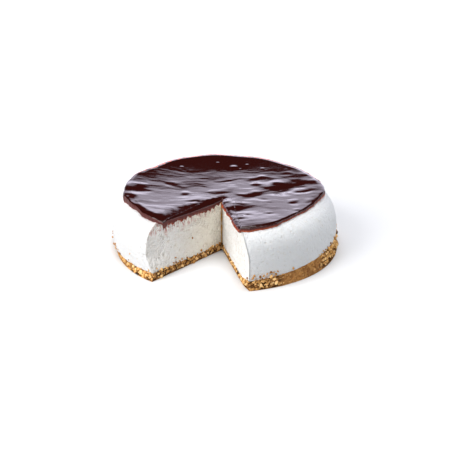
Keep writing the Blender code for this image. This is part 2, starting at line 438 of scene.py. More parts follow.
def base_loops():
    """The base's loops, and for each one how much of the crumb relief it takes."""
    foot = outline(BASE, 0.0, lambda angle: foot_spread(angle, 0.0))
    loops = [with_height(shrunk(foot, share), 0.0) for share in UNDER_SHARES]
    wall = [0.0] * len(UNDER_SHARES)
    for row in range(BASE_LOOPS + 1):
        share = row / BASE_LOOPS
        places = outline(BASE, share * RIM_HEIGHT, lambda angle: foot_spread(angle, share))
        uneven = 1.1 * wander(*places.T, 33.0, 4.5) + 0.7 * wander(*places.T, 3.0, 11.0)
        loops.append(with_height(places, share * (base_top(*places.T) + share * uneven)))
        wall.append(0.0 if row == 0 else 1.0)
    for share in INNER_SHARES:
        inner = shrunk(places, share)
        on_rim = share > RIM_SHARE
        loops.append(with_height(inner, base_top(*inner.T) - (0.0 if on_rim else RIM_DROP)))
        wall.append(RIM_ROUGHNESS if on_rim else 0.0)
    return loops, np.array(wall)


crust_loops, crust_wall = base_loops()
outside = zones(BASE) == 2
crust_values = face_values(BASE, crust_loops, crust_wall)
crust_values["cover"] = [
    share * (1.0 - PRESSED_CLEAR * (within(PRESSED_ARC, loop) * outside))
    for loop, share in zip(crust_loops, crust_wall)
]
# Painted light on the side of the base that faces the strong lamp
crust_values["golden"] = [within(KEY_LIGHT_ARC, loop) * outside for loop in crust_loops]
crust = weave("crumb_base", crust_loops, crust_values)

# %% [markdown]
# ## The fruit jelly
#
# The jelly was spread with a spatula and set. It is a few millimetres thick, hangs a little over the
# cut on the left, sticks out past it on the right, and thins out at the shoulder. A few broad dips
# and ridges are listed where the spatula left them, and the finer strokes are noise stretched
# across the cake.

# %% Where the spatula left its marks
STROKE_ANGLE = 13.5
# Each mark is a patch tilted towards the viewer: its middle (x, y), its length and depth, its direction
# and its slope
MARKS = (
    (-85.0, -30.0, 24.0, 17.0, 36.0, 0.15),
    (-83.0, -48.0, 15.0, 11.0, 25.0, 0.13),
    (-36.0, -22.0, 8.0, 9.0, 14.0, 0.13),
    (6.0, 4.0, 13.0, 7.0, 20.0, 0.05),
    (-24.0, -37.0, 21.0, 9.0, 29.0, 0.11),
    (-55.0, -2.0, 15.0, 9.0, -17.0, 0.09),
    (-2.0, -9.0, 20.0, 10.0, 29.0, 0.09),
    (-2.0, 25.0, 19.0, 9.0, 26.0, 0.08),
    (52.0, 17.0, 40.0, 22.0, 49.0, 0.15),
    (30.0, -8.0, 26.0, 12.0, 47.0, 0.12),
    (78.0, 35.0, 25.0, 15.0, -21.0, 0.10),
    (22.0, -45.0, 20.0, 21.0, 21.0, 0.16),
    (36.0, -57.0, 7.0, 7.0, 33.0, 0.10),
    (55.0, -51.0, 11.0, 6.0, 24.0, 0.10),
    (32.0, -69.0, 12.0, 9.0, 29.0, 0.12),
    (73.0, -18.0, 12.0, 7.0, 36.0, 0.12),
    (81.0, -37.0, 9.0, 6.0, 41.0, 0.10),
    (91.0, -12.0, 18.0, 14.0, 80.0, 0.12),
    (90.0, -38.0, 10.0, 5.0, 32.0, 0.08),
    (23.0, 32.0, 11.0, 9.0, 55.0, 0.10),
)
# Bubbles that set in the jelly: middle (x, y) and size
BUBBLES = (
    (-5.0, 60.0, 3.2),
    (8.0, 68.0, 1.5),
    (3.0, 57.0, 1.2),
    (-24.0, 66.0, 1.4),
    (26.0, 62.0, 1.6),
    (-58.0, 44.0, 1.8),
)
BUBBLE_RISE = 0.22
# Strokes all over: depth, how little they change across the cake, level in the noise and width
STROKES = ((0.16, 0.6, 3.0, 26.0), (0.075, 0.4, 11.0, 9.0), (0.040, 0.5, 19.0, 4.0))


def jelly_strokes(x, y):
    """The spread surface's relief: broad strokes, finer ripples and the marks."""
    turn = math.radians(STROKE_ANGLE)
    across = x * math.cos(turn) + y * math.sin(turn)
    away = -x * math.sin(turn) + y * math.cos(turn)
    bent = away + 3.0 * wander(across, away, 43.0, 26.0)
    relief = 0.0
    for depth, stretch, level, width in STROKES:
        relief = relief + depth * wander(across * stretch, bent, level, width)
    relief = relief * (1.0 - 0.6 * smooth(45.0, 60.0, away))
    edge = 1.0 + 0.35 * wander(across * 0.6, away, 61.0, 9.0)
    for mark_x, mark_y, length, depth, direction, slope in MARKS:
        lie = math.radians(direction)
        lengthwise = ((x - mark_x) * math.cos(lie) + (y - mark_y) * math.sin(lie)) / length
        sideways = -(x - mark_x) * math.sin(lie) + (y - mark_y) * math.cos(lie)
        fade = np.exp(-5.0 * (lengthwise * edge) ** 2 - 3.0 * (sideways * edge / depth) ** 2)
        relief = relief + slope * sideways * fade
    for bubble_x, bubble_y, size in BUBBLES:
        nearness = ((x - bubble_x) ** 2 + (y - bubble_y) ** 2) / size**2
        relief = relief + BUBBLE_RISE * size * np.exp(-nearness)
    return relief


def beside_left_cut(x, y):
    """Distance from the left face of the cut and distance along it, for places on the jelly."""
    angle = math.radians(JELLY.left)
    dx, dy = x - SLICE_TIP[0], y - SLICE_TIP[1]
    return dx * math.sin(angle) - dy * math.cos(angle), dx * math.cos(angle) + dy * math.sin(angle)


def towards(direction, angle):
    """The cosine of the angle between each place's direction from the middle and a given one."""
    return np.cos(angle - math.radians(direction))


LEFT_MARGIN = 17.0
LEFT_DROP = 2.3
LEAST_THICKNESS = 0.7


def drawn_down(x, y):
    """How far the jelly sinks towards the left cut, in strokes of uneven length pulled towards it."""
    gap, along = beside_left_cut(x, y)
    comb = 2.2 * wander(along + 0.9 * gap, 0.10 * gap, 5.0, 6.0)
    comb = comb + 2.4 * wander(along, 0.3 * gap, 15.0, 15.0)
    margin = LEFT_MARGIN * (0.55 + 0.45 * smooth(2.0, 40.0, along)) + comb
    near = np.clip(1.0 - gap / margin, 0.0, 1.0) ** 1.6
    return LEFT_DROP * near * smooth(-9.0, 6.0, along) * smooth(-6.0, 0.0, gap)


def jelly_body(x, y):
    """How far the jelly stands above the filling: it is level to its edge on the front right, where
    it fills up the fall of the shoulder, and thins out elsewhere."""
    angle = np.arctan2(y, x)
    inward = ring(JELLY_RADIUS, JELLY_EDGE_WAVES, angle) - np.hypot(x, y)
    front_left = smooth(0.93, 0.99, towards(240.0, angle))
    behind = smooth(0.0, 0.8, towards(95.0, angle))
    filled_up = (1.0 - 0.03 * front_left - 0.25 * behind) * (dish_height(x, y) - filling_height(x, y))
    left_side = smooth(0.75, 0.95, towards(192.0, angle))
    thinning = (0.6 - 0.5 * left_side) * smooth(2.2, 0.0, inward)
    thinning = thinning + (0.45 * front_left + 0.9 * behind) * smooth(6.0, 0.0, inward)
    body = JELLY_THICKNESS - thinning - drawn_down(x, y) + jelly_strokes(x, y)
    return filled_up + np.maximum(body, LEAST_THICKNESS)


print(len(MARKS), "marks on the jelly")

# %% [markdown]
# The lip is an arc swept round the whole outline. Its lower end hangs below the filling's edge where
# the jelly ran over the cut, and at the shoulder it simply meets the filling. Two numbers are kept
# for the finish: how far a point is onto the top, and how thin the jelly is at the lip's lower edge
# and along the far rim. The finish paints those places orange red, partly the thin jelly's own colour
# and partly painted light shining through it, from the screen behind along the far rim.

# %% Build the jelly's loops
LIP_LOOPS = 16
JELLY_LOOPS = 150
LIP_INSET = 1.0
CORNER_DIRECTION, CORNER_REACH = 306.0, 1.6
DRIP_ALONG, DRIP_LENGTH, DRIP_WIDTH = 84.0, 3.0, 4.0


def jelly_edge(angle):
    """Radius of the jelly's ragged edge, which reaches a little further at the right cut's corner."""
    fine = 0.9 * wander(8.0 * np.cos(angle), 8.0 * np.sin(angle), 0.0, 1.0)
    finer = 0.35 * wander(40.0 * np.cos(angle), 40.0 * np.sin(angle), 5.0, 1.0)
    corner = smooth(math.cos(0.3), 1.0, towards(CORNER_DIRECTION, angle))
    return ring(JELLY_RADIUS, JELLY_EDGE_WAVES, angle) + fine + finer + CORNER_REACH * corner


def edge_normals(loop):
    """Outward direction at each point of a loop, from its neighbours, eased at the corners."""
    along = np.roll(loop, -2, axis=0) - np.roll(loop, 2, axis=0)
    along /= np.linalg.norm(along, axis=1, keepdims=True)
    return np.stack([along[:, 1], -along[:, 0]], axis=-1)


def lip_shape(zone, edge):
    """How far the lip hangs below the filling's edge and bulges out, round the outline."""
    along = np.where(zone == 2, 60.0, np.hypot(*(edge - np.array(SLICE_TIP)).T))
    ragged = wander(edge[:, 0], edge[:, 1], 7.0, 3.2)
    broad = wander(edge[:, 0], edge[:, 1], 27.0, 10.0)
    drip = np.exp(-(((along - DRIP_ALONG) / DRIP_WIDTH) ** 2))
    hang_right = 2.1 + 1.0 * ragged + 0.8 * broad + DRIP_LENGTH * drip
    hang_left = 4.6 + 1.9 * ragged + 1.0 * broad
    hang = np.select([zone == 1, zone == 3], [hang_right, hang_left], 0.25)
    bulge_right = 3.0 + 1.1 * ragged + 0.5 * broad
    bulge = np.select([zone == 1, zone == 3], [bulge_right, 0.7 + 0.3 * ragged], 0.15 + 0.1 * ragged)
    fade = smooth(0.0, 9.0, along)
    return np.maximum(hang, 0.2) * (0.3 + 0.7 * fade), np.maximum(bulge, 0.1) * fade


def jelly_loops():
    """The jelly's loops: its underside, the lip from its lower end up, and the top in to the middle."""
    zone = zones(JELLY)
    edge = outline(JELLY, FILLING_TOP, jelly_edge)
    outward = edge_normals(edge)
    hang, bulge = lip_shape(zone, edge)
    ragged = wander(edge[:, 0], edge[:, 1], 87.0, 4.0)
    angle = np.arctan2(edge[:, 1], edge[:, 0])
    behind = smooth(-0.15, 0.4, towards(100.0, angle))
    front_left = smooth(0.3, 0.8, towards(215.0, angle)) * (zone == 2)
    # Width of the far rim's band of thin jelly, painted as lit through from the screen behind
    backlit_band = 2.2 + 4.2 * smooth(0.2, 0.9, towards(103.0, angle))
    inset = LIP_INSET + 0.8 * smooth(0.86, 0.97, towards(234.0, angle)) + 0.8 * behind
    start = edge - outward * inset[:, None]
    top_level = filling_height(*start.T) + jelly_body(*start.T)
    on_face = (zone != 2)[:, None]
    foot_level = filling_height(*(edge - outward * 0.6 * on_face).T) - hang
    loops, top, thin = [], [], []
    for share in UNDER_SHARES:
        inner = shrunk(edge - outward * 3.0, share)
        loops.append(with_height(inner, filling_height(*inner.T) + 0.05))
        top.append(np.zeros(len(edge)))
        thin.append(np.zeros(len(edge)))
    for row in range(LIP_LOOPS + 1):
        sweep = math.radians(-90.0 + 180.0 * row / LIP_LOOPS)
        out = -inset + (inset + bulge) * math.cos(sweep) ** 0.8
        rise = (1.0 + math.sin(sweep)) / 2.0
        height = foot_level + (top_level - foot_level) * rise
        loops.append(with_height(edge + outward * out[:, None], height))
        top.append(np.full(len(edge), max(0.0, math.sin(sweep)) ** 3))
        lower = (1.25 - 0.5 * np.maximum(front_left, behind)) * (1.0 - rise)
        thin.append(np.maximum(lower, behind * smooth(0.85, 1.0, rise)))
    for row in range(1, JELLY_LOOPS + 1):
        inner = shrunk(start, 1.0 - (row / (JELLY_LOOPS + 1)) ** 1.05)
        loops.append(with_height(inner, filling_height(*inner.T) + jelly_body(*inner.T)))
        top.append(np.ones(len(edge)))
        inward = np.hypot(*(inner - edge).T) + 1.6 * ragged
        # Along the far rim the jelly is marked for painted light shining through it as well as for its
        # thinness
        thin.append(behind * smooth(1.0, 0.5, inward / backlit_band))
    return loops, {"top": top, "thin": thin}


skin_loops, skin_values = jelly_loops()
everywhere = np.ones(len(skin_loops))
skin_values = {**face_values(JELLY, skin_loops, everywhere), **skin_values}
jelly = weave("fruit_jelly", skin_loops, skin_values)

# %% [markdown]
# ## Nodes written as sums
#
# Materials and Geometry Nodes are both trees of nodes. This small class wraps a node's output, so
# that plain Python sums such as 1 - mask add the Math nodes, and one method adds any other node from
# its type, its settings and what feeds it.


# %% A helper for node trees
class Socket:
    """An output of a node that can be used in a sum: each operation adds a Math node."""

    def __init__(self, nodes, socket):
        self.nodes = nodes
        self.socket = socket

    def math(self, operation, first, second):
        return self.nodes.add("ShaderNodeMath", {"operation": operation}, {0: first, 1: second})

    def __add__(self, other):
        return self.math("ADD", self, other)

    def __radd__(self, other):
        return self.math("ADD", other, self)

    def __sub__(self, other):
        return self.math("SUBTRACT", self, other)

    def __rsub__(self, other):
        return self.math("SUBTRACT", other, self)

    def __mul__(self, other):
        return self.math("MULTIPLY", self, other)

    def __rmul__(self, other):
        return self.math("MULTIPLY", other, self)

    def __truediv__(self, other):
        return self.math("DIVIDE", self, other)

    def __rtruediv__(self, other):
        return self.math("DIVIDE", other, self)


class Nodes:
    """Adds nodes to one tree: each method gives back the new node's output, ready for a sum."""

    def __init__(self, tree):
        self.tree = tree

    def feed(self, socket, value):
        if isinstance(value, Socket):
            self.tree.links.new(value.socket, socket)
        else:
            socket.default_value = value

    def add(self, kind, settings=None, values=None, output=0):
        node = self.tree.nodes.new(kind)
        for name, value in (settings or {}).items():
            if name == "stops":
                self.set_stops(node.color_ramp, value)
            else:
                setattr(node, name, value)
        for name, value in (values or {}).items():
            self.feed(node.inputs[name], value)
        return Socket(self, node.outputs[output]) if len(node.outputs) else node

    @staticmethod
    def set_stops(ramp, stops):
        while len(ramp.elements) < len(stops):
            ramp.elements.new(0.5)
        for element, (place, colour) in zip(ramp.elements, stops):
            element.position = place
            element.color = (*colour, 1.0)

    def step(self, value, low, high):
        """0 below low, 1 above high, and a smooth step between them."""
        return self.add(
            "ShaderNodeMapRange",
            {"interpolation_type": "SMOOTHSTEP"},
            {"Value": value, "From Min": low, "From Max": high},
        )

    def noise(self, place, size, detail=2.0, roughness=0.5):
        """Noise from 0 to 1, with features about size millimetres across."""
        return self.add(
            "ShaderNodeTexNoise",
            None,
            {"Vector": place, "Scale": 1.0 / (size * MM), "Detail": detail, "Roughness": roughness},
        )

    def cells(self, place, scale):
        """Distance from the middle of the nearest of many cells."""
        return self.add("ShaderNodeTexVoronoi", None, {"Vector": place, "Scale": scale}, "Distance")

    def scaled(self, vector, factor):
        return self.add("ShaderNodeVectorMath", {"operation": "SCALE"}, {0: vector, "Scale": factor})

    def chance(self, kind, low, high, seed):
        """A random value or vector for each point, between low and high. The node keeps a pair of
        inputs and an output for each kind, so they are found by number."""
        first, output = (0, "Value") if kind == "FLOAT_VECTOR" else (2, 1)
        values = {first: low, first + 1: high, "Seed": seed}
        return self.add("FunctionNodeRandomValue", {"data_type": kind}, values, output)

    def stretched(self, place, scale):
        return self.add("ShaderNodeVectorMath", {"operation": "MULTIPLY"}, {0: place, 1: scale})

    def blend(self, share, first, second):
        """A colour part of the way from first to second."""
        settings = {"data_type": "RGBA", "clamp_factor": True}
        return self.add("ShaderNodeMix", settings, {0: share, 6: first, 7: second}, 2)

    def attribute(self, name):
        return self.add("ShaderNodeAttribute", {"attribute_name": name}, None, "Fac")


print("node helpers ready")

# %% [markdown]
# A Geometry Nodes tree gets its sizes through named inputs, so that one tree can serve several pieces.
# Each tree ends by making its instances real and setting the finish. It is run as a modifier, and its
# result is kept as a plain mesh.


# %% Make and run a Geometry Nodes tree
def geometry_tree(name, inputs):
    """A Geometry Nodes tree with named inputs, ready to be filled."""
    tree = bpy.data.node_groups.new(name, "GeometryNodeTree")
    tree.interface.new_socket("Geometry", in_out="INPUT", socket_type="NodeSocketGeometry")
    tree.interface.new_socket("Geometry", in_out="OUTPUT", socket_type="NodeSocketGeometry")
    for label, (kind, value) in inputs.items():
        socket = tree.interface.new_socket(label, in_out="INPUT", socket_type=kind)
        if value is not None:
            socket.default_value = value
    nodes = Nodes(tree)
    entry = tree.nodes.new("NodeGroupInput")
    return tree, nodes, {socket.name: Socket(nodes, socket) for socket in entry.outputs if socket.name}


def named(nodes, name):
    """A number that the mesh keeps at each point, read inside Geometry Nodes."""
    return nodes.add("GeometryNodeInputNamedAttribute", {"data_type": "FLOAT"}, {"Name": name}, "Attribute")


def end_tree(nodes, geometry, material):
    """Makes what a tree built into real mesh with its finish, and hands it out."""
    whole = nodes.add("GeometryNodeRealizeInstances", None, {"Geometry": geometry})
    finished = nodes.add("GeometryNodeSetMaterial", None, {"Geometry": whole, "Material": material})
    nodes.add("NodeGroupOutput", None, {"Geometry": finished})


def end_relief(nodes, given, push):
    """Moves a skin along its normals, by push millimetres where its "wall" number is 1."""
    push = push * given["Depth"] * named(nodes, "wall") * MM
    offset = nodes.scaled(nodes.add("GeometryNodeInputNormal"), push)
    moved = nodes.add("GeometryNodeSetPosition", None, {"Geometry": given["Geometry"], "Offset": offset})
    end_tree(nodes, moved, given["Material"])


def grown(host, tree, values, name):
    """Runs a tree on an object and gives back its result as a plain mesh."""
    modifier = host.modifiers.new(tree.name, "NODES")
    modifier.node_group = tree
    for item in tree.interface.items_tree:
        if item.in_out == "INPUT" and item.name in values:
            modifier[item.identifier] = values[item.name]
    depsgraph = bpy.context.evaluated_depsgraph_get()
    mesh = bpy.data.meshes.new_from_object(
        host.evaluated_get(depsgraph), preserve_all_data_layers=True, depsgraph=depsgraph
    )
    host.modifiers.remove(modifier)
    mesh.name = name
    print(name, "has", len(mesh.polygons), "faces")
    return mesh


print("ready to run trees")

# %% [markdown]
# ## Crumbs pressed together
#
# Broken biscuit is a mass of grains with cracks between them. Geometry Nodes push the base's skin in
# and out: cells of two sizes make the grains, and noise keeps them from looking alike.


# %% The crumb relief
def crumb_relief_tree():
    """Pushes a skin in and out along its normals, as far as its "wall" number allows."""
    inputs = {
        "Grain": ("NodeSocketFloat", 5.0),
        "Depth": ("NodeSocketFloat", 1.0),
        "Material": ("NodeSocketMaterial", None),
    }
    tree, nodes, given = geometry_tree("Crumb relief", inputs)
    place = nodes.add("GeometryNodeInputPosition")
    across = nodes.scaled(place, 1.0 / MM / given["Grain"])
    coarse = 0.42 - nodes.cells(across, 1.0)
    small = 0.42 - nodes.cells(across, 2.4)
    grain = nodes.noise(place, 1.3, 3.0, 0.6) - 0.5
    hollow = nodes.noise(place, 9.0, 1.0) - 0.5
    rough = coarse * 1.6 + small * 0.9 + grain * 0.9 + hollow * 1.3
    end_relief(nodes, given, rough - 0.3)
    return tree


crumb_relief = crumb_relief_tree()
print("the crumb relief takes", len(crumb_relief.nodes), "nodes")

# %% [markdown]
# On top of the relief lie real crumbs. One rough lump of a few dozen faces is set at scattered points
# of the skin, each turned and stretched at random, and each with a tone of its own. The skin's
# "cover" says where they lie thickly. After the lumps are made real, noise dents each one
# differently, so that no two are alike. A crumb at the foot would reach below the floor, so heights
# near zero are eased up with a curve that is flat below the floor and straight above it.

# %% Scattered crumbs
FLOOR_EASE = 1.5 / MM


def crumbs_tree():
    """Sets rough lumps on a skin, more of them where the named cover number is higher."""
    inputs = {
        "Spacing": ("NodeSocketFloat", 0.003),
        "Size": ("NodeSocketFloat", 0.0012),
        "Seed": ("NodeSocketInt", 1),
        "Cover": ("NodeSocketString", "cover"),
        "Material": ("NodeSocketMaterial", None),
    }
    tree, nodes, given = geometry_tree("Crumbs", inputs)
    seed = given["Seed"]
    spacing = {"Distance Min": given["Spacing"], "Density Max": 4.0e6, "Seed": seed}
    spacing["Density Factor"] = named(nodes, given["Cover"])
    points = nodes.add(
        "GeometryNodeDistributePointsOnFaces",
        {"distribute_method": "POISSON"},
        {"Mesh": given["Geometry"], **spacing},
        "Points",
    )
    lump = nodes.add("GeometryNodeMeshUVSphere", None, {"Segments": 7, "Rings": 5, "Radius": 1.0})
    turn = nodes.chance("FLOAT_VECTOR", (0.0, 0.0, 0.0), (6.28, 6.28, 6.28), seed)
    stretch = nodes.chance("FLOAT_VECTOR", (0.55, 0.55, 0.4), (1.5, 1.2, 1.0), seed + 7)
    size = nodes.scaled(stretch, given["Size"])
    lumps = {"Points": points, "Instance": lump, "Rotation": turn, "Scale": size}
    scattered = nodes.add("GeometryNodeInstanceOnPoints", None, lumps)
    toned = nodes.add(
        "GeometryNodeStoreNamedAttribute",
        {"data_type": "FLOAT", "domain": "INSTANCE"},
        {"Geometry": scattered, "Name": "tone", "Value": nodes.chance("FLOAT", 0.0, 1.0, seed + 3)},
    )
    real = nodes.add("GeometryNodeRealizeInstances", None, {"Geometry": toned})
    place = nodes.add("GeometryNodeInputPosition")
    dents = nodes.add("ShaderNodeTexNoise", None, {"Vector": place, "Scale": 0.7 / given["Size"]}, "Color")
    centred = nodes.add("ShaderNodeVectorMath", {"operation": "SUBTRACT"}, {0: dents, 1: (0.5, 0.5, 0.5)})
    offset = nodes.scaled(centred, given["Size"] * 1.6)
    dented = nodes.add("GeometryNodeSetPosition", None, {"Geometry": real, "Offset": offset})
    axes = [nodes.add("ShaderNodeSeparateXYZ", None, {"Vector": place}, axis) for axis in "XYZ"]
    power = nodes.add("ShaderNodeMath", {"operation": "EXPONENT"}, {0: axes[2] * FLOOR_EASE})
    raised = nodes.add("ShaderNodeMath", {"operation": "LOGARITHM"}, {0: power + 1.0, 1: math.e})
    height = raised * (1.0 / FLOOR_EASE)
    on_floor = nodes.add("ShaderNodeCombineXYZ", None, {"X": axes[0], "Y": axes[1], "Z": height})
    standing = nodes.add("GeometryNodeSetPosition", None, {"Geometry": dented, "Position": on_floor})
    smoothed = nodes.add("GeometryNodeSetShadeSmooth", None, {"Geometry": standing})
    end_tree(nodes, smoothed, given["Material"])
    return tree


scatter = crumbs_tree()
print("the scattered crumbs take", len(scatter.nodes), "nodes")

# %% [markdown]
# A knife leaves the set cheese a little torn, with small pits where there were air bubbles, and the
# tin's lining leaves faint waves outside. Both are shallow, and both are true relief.


# %% The filling's relief
def cheese_relief_tree():
    """Waves outside, a torn surface on the cuts, and pits on both."""
    inputs = {"Depth": ("NodeSocketFloat", 1.0), "Material": ("NodeSocketMaterial", None)}
    tree, nodes, given = geometry_tree("Cheese relief", inputs)
    place = nodes.add("GeometryNodeInputPosition")
    cut = named(nodes, "left_cut") + named(nodes, "right_cut")
    torn = nodes.noise(place, 2.6, 3.0, 0.6) - 0.5
    waves = nodes.noise(place, 11.0, 2.0) - 0.5
    pits = nodes.step(nodes.noise(place, 2.6, 1.0), 0.66, 0.76)
    end_relief(nodes, given, waves * 0.7 + torn * (0.35 + cut * 0.75) - pits * 0.45)
    return tree


cheese_relief = cheese_relief_tree()
print("the cheese relief takes", len(cheese_relief.nodes), "nodes")

# %% [markdown]
# ## The finishes
#
# Each finish is one Principled shader whose colour, roughness and bump come from noise in the
# piece's own coordinates, so that a pattern stays where it is when the piece is seen from the side.


# %% Start a material
def new_material(name):
    """A material with its node helper, its shader and the piece's own coordinates."""
    material = bpy.data.materials.new(name)
    material.use_nodes = True
    nodes = Nodes(material.node_tree)
    shader = material.node_tree.nodes["Principled BSDF"]
    place = nodes.add("ShaderNodeTexCoord", None, None, "Object")
    return material, nodes, shader, place


def bump(nodes, height, strength, distance):
    """A surface normal tilted as if the surface rose by distance millimetres where height is 1."""
    values = {"Strength": strength, "Distance": distance * MM, "Height": height}
    return nodes.add("ShaderNodeBump", None, values)


print("ready to make finishes")

# %% [markdown]
# Biscuit crumb is pale where a crumb catches the light and dark brown in the cracks. A ramp from
# dark to pale brown is read by the sum of three noises, so no two crumbs have the same tone. The
# scattered crumbs also carry a tone of their own. The base is painted darker under its crumbs and
# much darker in the cracks between its grains, which is painted shade, and evenly brown where it was
# pressed smooth. The left side, which faces the strong lamp, is painted paler as painted light.

# %% Biscuit finish
GRAIN = 4.2
DARK_CRUMB = (0.085, 0.036, 0.011)
BROWN_CRUMB = (0.41, 0.195, 0.063)
GOLD_CRUMB = (0.72, 0.39, 0.125)
PALE_CRUMB = (0.98, 0.66, 0.30)
PRESSED_CRUMB = (0.36, 0.16, 0.050, 1.0)


def biscuit_material(name, own_tone):
    material, nodes, shader, place = new_material(name)
    tone = nodes.noise(place, 2.2, 3.0, 0.6) * 0.5 + nodes.noise(place, 9.0, 2.0) * 0.3
    tone = tone + nodes.noise(place, 0.9, 1.0) * 0.2
    if own_tone:
        tone = tone * 0.45 + nodes.attribute("tone") * 0.55 + 0.07
    else:
        # Painted shade: the crust is darkened under its cover of crumbs, and most in the cracks between
        # grains
        crack_shade = nodes.step(nodes.cells(place, 1.0 / (GRAIN * MM)), 0.30, 0.62)
        tone = tone - nodes.attribute("cover") * (0.05 + crack_shade * 0.22)
    # Painted light: the left side, which faces the strong lamp, is made paler
    tone = tone + nodes.attribute("golden") * 0.10
    stops = ((0.30, DARK_CRUMB), (0.43, BROWN_CRUMB), (0.56, GOLD_CRUMB), (0.80, PALE_CRUMB))
    colour = nodes.add("ShaderNodeValToRGB", {"stops": stops}, {"Fac": tone}, "Color")
    pressed = 1.0 - nodes.step(nodes.attribute("cover"), 0.3, 0.9)
    colour = nodes.blend(pressed * 0.55, colour, PRESSED_CRUMB)
    nodes.feed(shader.inputs["Base Color"], colour)
    shader.inputs["Roughness"].default_value = 0.85
    shader.inputs["Specular IOR Level"].default_value = 0.08
    grain = nodes.noise(place, 0.7, 3.0, 0.7)
    nodes.feed(shader.inputs["Normal"], bump(nodes, grain, 0.6, 0.4))
    return material


biscuit = biscuit_material("biscuit", False)
loose_biscuit = biscuit_material("loose_biscuit", True)
for finish in (biscuit, loose_biscuit):
    print("the", finish.name, "finish takes", len(finish.node_tree.nodes), "nodes")

# %% [markdown]
# Outside, where the tin's lining left it smooth, the cheese is painted a bluish grey, which is painted
# shade on that side. The right face of the cut is almost white. The left face is cream, partly its own
# colour and partly painted warm shade, and turns paler and warmer towards the slice's tip as painted
# bounce light between the two faces. Small pits dot both, darkened as painted shade. Juice from the
# topping ran down the left face in thin pink threads, which are noise stretched along the height and
# faded out below. At the slice's tip the knife cut a little past it, and the slit's inside is painted
# golden brown as shade and warm bounce light. The knife's drag shows as a slanting grain on the faces.

# %% Cheese finish
# Painted shade: the outer wall's bluish grey stands for the shade on that side
SHADED_WALL_CHEESE = (0.65, 0.66, 0.675, 1.0)
WHITE_CHEESE = (0.87, 0.865, 0.85, 1.0)
SMEARED = (0.50, 0.35, 0.26, 1.0)
CUT_CHEESE = (0.83, 0.815, 0.79, 1.0)
# Painted bounce light: the paler, warmer cream at the slice's tip, between the two faces
APEX_BOUNCE_CHEESE = (0.98, 0.93, 0.81, 1.0)
# The cheese's random darker tone, and painted shade in its pits
MOTTLE_AND_PIT_SHADE = (0.70, 0.58, 0.42, 1.0)
JUICE = (0.47, 0.13, 0.10, 1.0)
# Painted shade and warm bounce light inside the slit at the slice's tip
SLIT_SHADE = (0.66, 0.36, 0.09, 1.0)


def cheese_material():
    material, nodes, shader, place = new_material("cheese")
    left, right, along = (nodes.attribute(key) for key in ("left_cut", "right_cut", "along"))
    height = nodes.add("ShaderNodeSeparateXYZ", None, {"Vector": place}, "Z") * (1.0 / MM)
    cut = nodes.step(left + right, 0.0, 1.0)
    # The left face's cream, partly its own colour, turns into painted bounce light towards the slice's tip
    cream_and_apex_bounce = nodes.blend(nodes.step(along, 75.0, 15.0), CUT_CHEESE, APEX_BOUNCE_CHEESE)
    # The outside takes the wall's painted shade, the right face white, the left face its cream and painted
    # bounce light
    colour = nodes.blend(left, nodes.blend(right, SHADED_WALL_CHEESE, WHITE_CHEESE), cream_and_apex_bounce)
    mottle = nodes.step(nodes.noise(place, 5.0, 3.0, 0.7), 0.40, 0.70)
    colour = nodes.blend(mottle * (0.06 + cut * 0.10), colour, MOTTLE_AND_PIT_SHADE)
    pits = nodes.step(nodes.noise(place, 2.3, 2.0), 0.60, 0.72)
    # Painted shade: the pits are darkened in colour as well as sunk in relief
    colour = nodes.blend(pits * (0.25 + cut * 0.15), colour, MOTTLE_AND_PIT_SHADE)
    smear = nodes.step(nodes.noise(place, 2.2, 2.0), 0.42, 0.62) * nodes.attribute("smear")
    colour = nodes.blend(smear * 0.75, colour, SMEARED)
    thread = nodes.add("ShaderNodeCombineXYZ", None, {"X": along * MM, "Z": height * (0.2 * MM)})
    threads = nodes.step(nodes.noise(thread, 1.9, 2.0, 0.6), 0.50, 0.60)
    spots = nodes.step(nodes.noise(place, 2.6, 1.0), 0.60, 0.70)
    under = nodes.step(height + nodes.noise(place, 7.0, 1.0) * 16.0, 47.0, 58.0)
    lower = nodes.step(height, 30.0, 44.0)
    stain = (threads * under + spots * lower * 0.5 * nodes.step(along, 30.0, 60.0)) * left
    stain = stain * nodes.step(along, 4.0, 16.0)
    colour = nodes.blend(stain * 0.85, colour, JUICE)
    # Painted shade and warm bounce light inside the slit, on both cut faces near the tip
    slit = nodes.step(along + nodes.noise(place, 5.0, 1.0) * 1.4, 2.6, 1.4) * cut
    colour = nodes.blend(slit, colour, SLIT_SHADE)
    nodes.feed(shader.inputs["Base Color"], colour)
    shader.inputs["Roughness"].default_value = 0.55
    shader.inputs["Specular IOR Level"].default_value = 0.35
    slanting = {"X": along * MM + height * (0.6 * MM), "Z": height * (0.5 * MM)}
    grain = nodes.add("ShaderNodeCombineXYZ", None, slanting)
    drag = nodes.noise(grain, 2.6, 2.0, 0.6) * cut
    relief = drag + nodes.noise(place, 3.2, 3.0, 0.6) * (0.5 + cut * 0.12) - pits * (0.16 + cut * 0.16)
    nodes.feed(shader.inputs["Normal"], bump(nodes, relief, 1.0, 3.4))
    return material


cheese_finish = cheese_material()
print("the cheese finish takes", len(cheese_finish.node_tree.nodes), "nodes")

# %% [markdown]
# The jelly is a very dark red that turns to an orange red where it is thin, at its edge and along the
# far rim: partly the thin jelly's own colour and partly painted light shining through it. Its top
# is as smooth as glass, so what shows on it is mostly the reflection of a soft light behind the cake.
# Its sides are duller, because they were cut or pulled over the edge.

# %% Jelly finish
DEEP_JELLY = (0.022, 0.0025, 0.0017, 1.0)
CUT_JELLY = (0.085, 0.010, 0.008, 1.0)
# The thin jelly's own orange red, also used as painted light shining through it
THIN_BACKLIT_JELLY = (0.43, 0.072, 0.014, 1.0)


